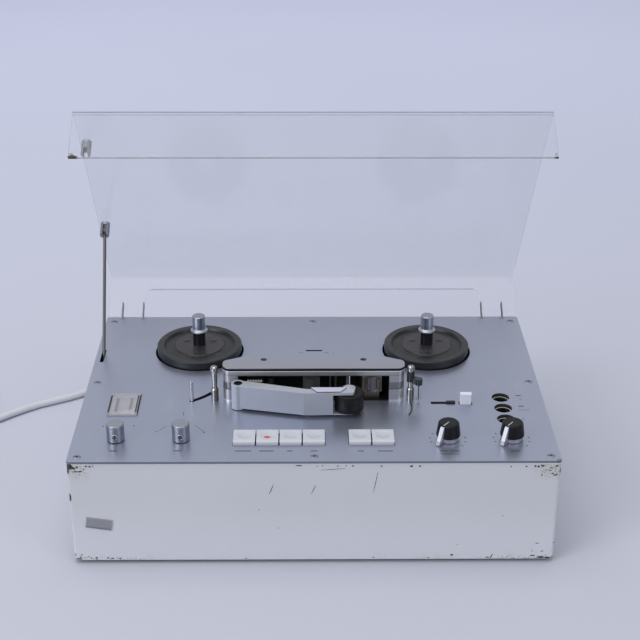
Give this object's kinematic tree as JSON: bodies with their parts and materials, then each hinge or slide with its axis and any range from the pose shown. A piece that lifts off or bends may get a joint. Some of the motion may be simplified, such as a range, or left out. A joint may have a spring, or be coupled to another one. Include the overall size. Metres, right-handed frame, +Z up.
{
  "type": "reel-to-reel tape recorder",
  "caption": "Table tape recorder with two reel tables, a head housing, a pressure roller arm, piano keys, knobs and a clear bent lid on a prop rod; for recording and playing tape.",
  "frame": {"origin": "on the table under the centre of the case's footprint", "axes": "+X to the right seen from the front, +Y to the rear, +Z up; the lid stands open as in use"},
  "size_m": [0.6616, 0.3602, 0.3589],
  "materials": {
    "case_white": "satin enamel",
    "base_grey": "satin enamel",
    "foot_rubber": "matt",
    "screw_steel": "bright plated",
    "deck_blue_grey": "fine satin",
    "chassis_steel": "plated",
    "lid_clear": "clear acrylic",
    "hinge_steel": "dull",
    "reel_black": "satin black",
    "cap_metal": "turned",
    "motor_grey": "satin",
    "shaft_steel": "ground",
    "bearing_bronze": "turned",
    "belt_rubber": "matt",
    "head_silver": "satin",
    "cover_screw_black": "blackened",
    "head_can": "mu-metal",
    "arm_silver": "cast and polished",
    "roller_rubber": "matt",
    "switch_black": "satin",
    "key_white": "moulded",
    "lever_dark": "black",
    "selector_silver": "turned",
    "knob_black": "satin black",
    "control_grey": "plated",
    "meter_body": "white",
    "meter_clear": "clear",
    "needle_black": "black",
    "socket_black": "moulded",
    "transformer_iron": "varnished laminations",
    "board_green": "board",
    "plate_grey": "bare",
    "cord_grey": "matt"
  },
  "bodies": {
    "case": {"case_shell": "case_white", "base_cover": "base_grey", "feet": "foot_rubber", "case_screws": "screw_steel", "deck_plate": "deck_blue_grey", "chassis": "chassis_steel", "hinge_pins": "hinge_steel", "hinge_blocks": "hinge_steel", "reel_motors": "motor_grey", "capstan_bearing": "bearing_bronze", "capstan_motor": "motor_grey", "drive_belt": "belt_rubber", "head_housing": "head_silver", "head_cover": "head_silver", "cover_screws": "cover_screw_black", "erase_head": "head_can", "record_head": "head_can", "play_head": "head_can", "tape_guides": "screw_steel", "arm_post": "hinge_steel", "key_frame": "chassis_steel", "control_bodies": "control_grey", "meter_case": "meter_body", "meter_window": "meter_clear", "socket_bodies": "socket_black", "transformer": "transformer_iron", "amplifier_board": "board_green", "front_plate": "plate_grey", "strain_relief": "cord_grey", "mains_cord": "cord_grey", "cord_coil": "cord_grey", "plug": "cord_grey"},
    "lid": {"lid_sheet": "lid_clear", "hinge_blades": "hinge_steel", "lid_studs": "screw_steel"},
    "prop": {"prop_rod": "screw_steel"},
    "left_reel": {"left_reel_table": "reel_black"},
    "right_reel": {"right_reel_table": "reel_black"},
    "left_reel_cap": {"left_cap": "cap_metal"},
    "right_reel_cap": {"right_cap": "cap_metal"},
    "capstan_drive": {"capstan": "shaft_steel", "flywheel": "shaft_steel"},
    "motor_shaft": {"motor_pulley": "bearing_bronze"},
    "roller_arm": {"pressure_arm": "arm_silver"},
    "roller": {"pressure_roller": "roller_rubber"},
    "feeler": {"feeler_arm": "screw_steel"},
    "tape_switch": {"switch_arm": "switch_black"},
    "key_1_body": {"key_1": "key_white"},
    "key_2_body": {"key_2": "key_white"},
    "key_3_body": {"key_3": "key_white"},
    "key_4_body": {"key_4": "key_white"},
    "key_5_body": {"key_5": "key_white"},
    "key_6_body": {"key_6": "key_white"},
    "pause": {"pause_key": "key_white"},
    "lever": {"slide_lever": "lever_dark"},
    "selector_left": {"left_selector": "selector_silver"},
    "selector_right": {"right_selector": "selector_silver"},
    "level_left": {"left_level_knob": "knob_black"},
    "level_right": {"right_level_knob": "knob_black"},
    "needle": {"meter_needle": "needle_black"}
  },
  "joints": [
    {"name": "lid_hinge", "type": "hinge", "parent": "case", "child": "lid", "pos_m": [0, 0.1385, 0.101], "axis": [1, 0, 0], "range_deg": [0, 55.4]},
    {"name": "prop_swing", "type": "hinge", "parent": "lid", "child": "prop", "pos_m": [-0.2035, 0.11904, 0.20846], "axis": [1, 0, 0], "range_deg": [-12, 0]},
    {"name": "left_reel_spin", "type": "hinge", "parent": "case", "child": "left_reel", "pos_m": [-0.1105, 0.065, 0.105], "axis": [0, 0, 1], "continuous": true},
    {"name": "left_cap_lift", "type": "slide", "parent": "left_reel", "child": "left_reel_cap", "axis": [0, 0, 1], "range_m": [0, 0.01]},
    {"name": "right_reel_spin", "type": "hinge", "parent": "case", "child": "right_reel", "pos_m": [0.1105, 0.065, 0.105], "axis": [0, 0, 1], "continuous": true},
    {"name": "right_cap_lift", "type": "slide", "parent": "right_reel", "child": "right_reel_cap", "axis": [0, 0, 1], "range_m": [0, 0.01]},
    {"name": "capstan_spin", "type": "hinge", "parent": "case", "child": "capstan_drive", "pos_m": [0.0315, -0.0295, 0.105], "axis": [0, 0, 1], "continuous": true},
    {"name": "motor_spin", "type": "hinge", "parent": "case", "child": "motor_shaft", "pos_m": [-0.042, 0.02, 0.051], "axis": [0, 0, 1], "continuous": true},
    {"name": "arm_swing", "type": "hinge", "parent": "case", "child": "roller_arm", "pos_m": [-0.068, -0.0477, 0.105], "axis": [0, 0, 1], "range_deg": [0, 6.3], "stiffness_Nm_per_rad": 0.5, "springref_deg": -2.86},
    {"name": "roller_spin", "type": "hinge", "parent": "roller_arm", "child": "roller", "pos_m": [0.0315, -0.0565, 0.105], "axis": [0, 0, 1], "continuous": true},
    {"name": "feeler_swing", "type": "hinge", "parent": "case", "child": "feeler", "pos_m": [-0.1423, 0.017, 0.088], "axis": [0, 0, 1], "range_deg": [0, 22], "stiffness_Nm_per_rad": 0.02},
    {"name": "tape_switch_swing", "type": "hinge", "parent": "case", "child": "tape_switch", "pos_m": [0.0881, -0.0332, 0.1243], "axis": [0, 0, 1], "range_deg": [-10, 10], "stiffness_Nm_per_rad": 0.005},
    {"name": "key_1_press", "type": "slide", "parent": "case", "child": "key_1_body", "axis": [0, 0, -1], "range_m": [0, 0.004], "stiffness_N_per_m": 300, "springref_m": -0.002},
    {"name": "key_2_press", "type": "slide", "parent": "case", "child": "key_2_body", "axis": [0, 0, -1], "range_m": [0, 0.004], "stiffness_N_per_m": 300, "springref_m": -0.002},
    {"name": "key_3_press", "type": "slide", "parent": "case", "child": "key_3_body", "axis": [0, 0, -1], "range_m": [0, 0.004], "stiffness_N_per_m": 300, "springref_m": -0.002},
    {"name": "key_4_press", "type": "slide", "parent": "case", "child": "key_4_body", "axis": [0, 0, -1], "range_m": [0, 0.004], "stiffness_N_per_m": 300, "springref_m": -0.002},
    {"name": "key_5_press", "type": "slide", "parent": "case", "child": "key_5_body", "axis": [0, 0, -1], "range_m": [0, 0.004], "stiffness_N_per_m": 300, "springref_m": -0.002},
    {"name": "key_6_press", "type": "slide", "parent": "case", "child": "key_6_body", "axis": [0, 0, -1], "range_m": [0, 0.004], "stiffness_N_per_m": 300, "springref_m": -0.002},
    {"name": "pause_press", "type": "slide", "parent": "case", "child": "pause", "axis": [0, 0, -1], "range_m": [0, 0.004], "stiffness_N_per_m": 250, "springref_m": -0.002},
    {"name": "lever_slide", "type": "slide", "parent": "case", "child": "lever", "axis": [-1, 0, 0], "range_m": [0, 0.0135]},
    {"name": "left_selector_turn", "type": "hinge", "parent": "case", "child": "selector_left", "pos_m": [-0.172, -0.103, 0.105], "axis": [0, 0, 1], "range_deg": [-60, 0]},
    {"name": "right_selector_turn", "type": "hinge", "parent": "case", "child": "selector_right", "pos_m": [-0.1155, -0.103, 0.105], "axis": [0, 0, 1], "range_deg": [-50, 50]},
    {"name": "left_level_turn", "type": "hinge", "parent": "case", "child": "level_left", "pos_m": [0.1165, -0.103, 0.105], "axis": [0, 0, 1], "range_deg": [-280, 0]},
    {"name": "right_level_turn", "type": "hinge", "parent": "case", "child": "level_right", "pos_m": [0.172, -0.103, 0.105], "axis": [0, 0, 1], "range_deg": [-280, 0]},
    {"name": "needle_swing", "type": "hinge", "parent": "case", "child": "needle", "pos_m": [-0.1717, -0.05595, 0.0925], "axis": [0, 0, 1], "range_deg": [-48, 0], "stiffness_Nm_per_rad": 0.0005}
  ],
  "couplings": [
    {"joint": "prop_swing", "follows": "lid_hinge", "ratio": -0.2},
    {"joint": "motor_spin", "follows": "capstan_spin", "ratio": 5}
  ]
}
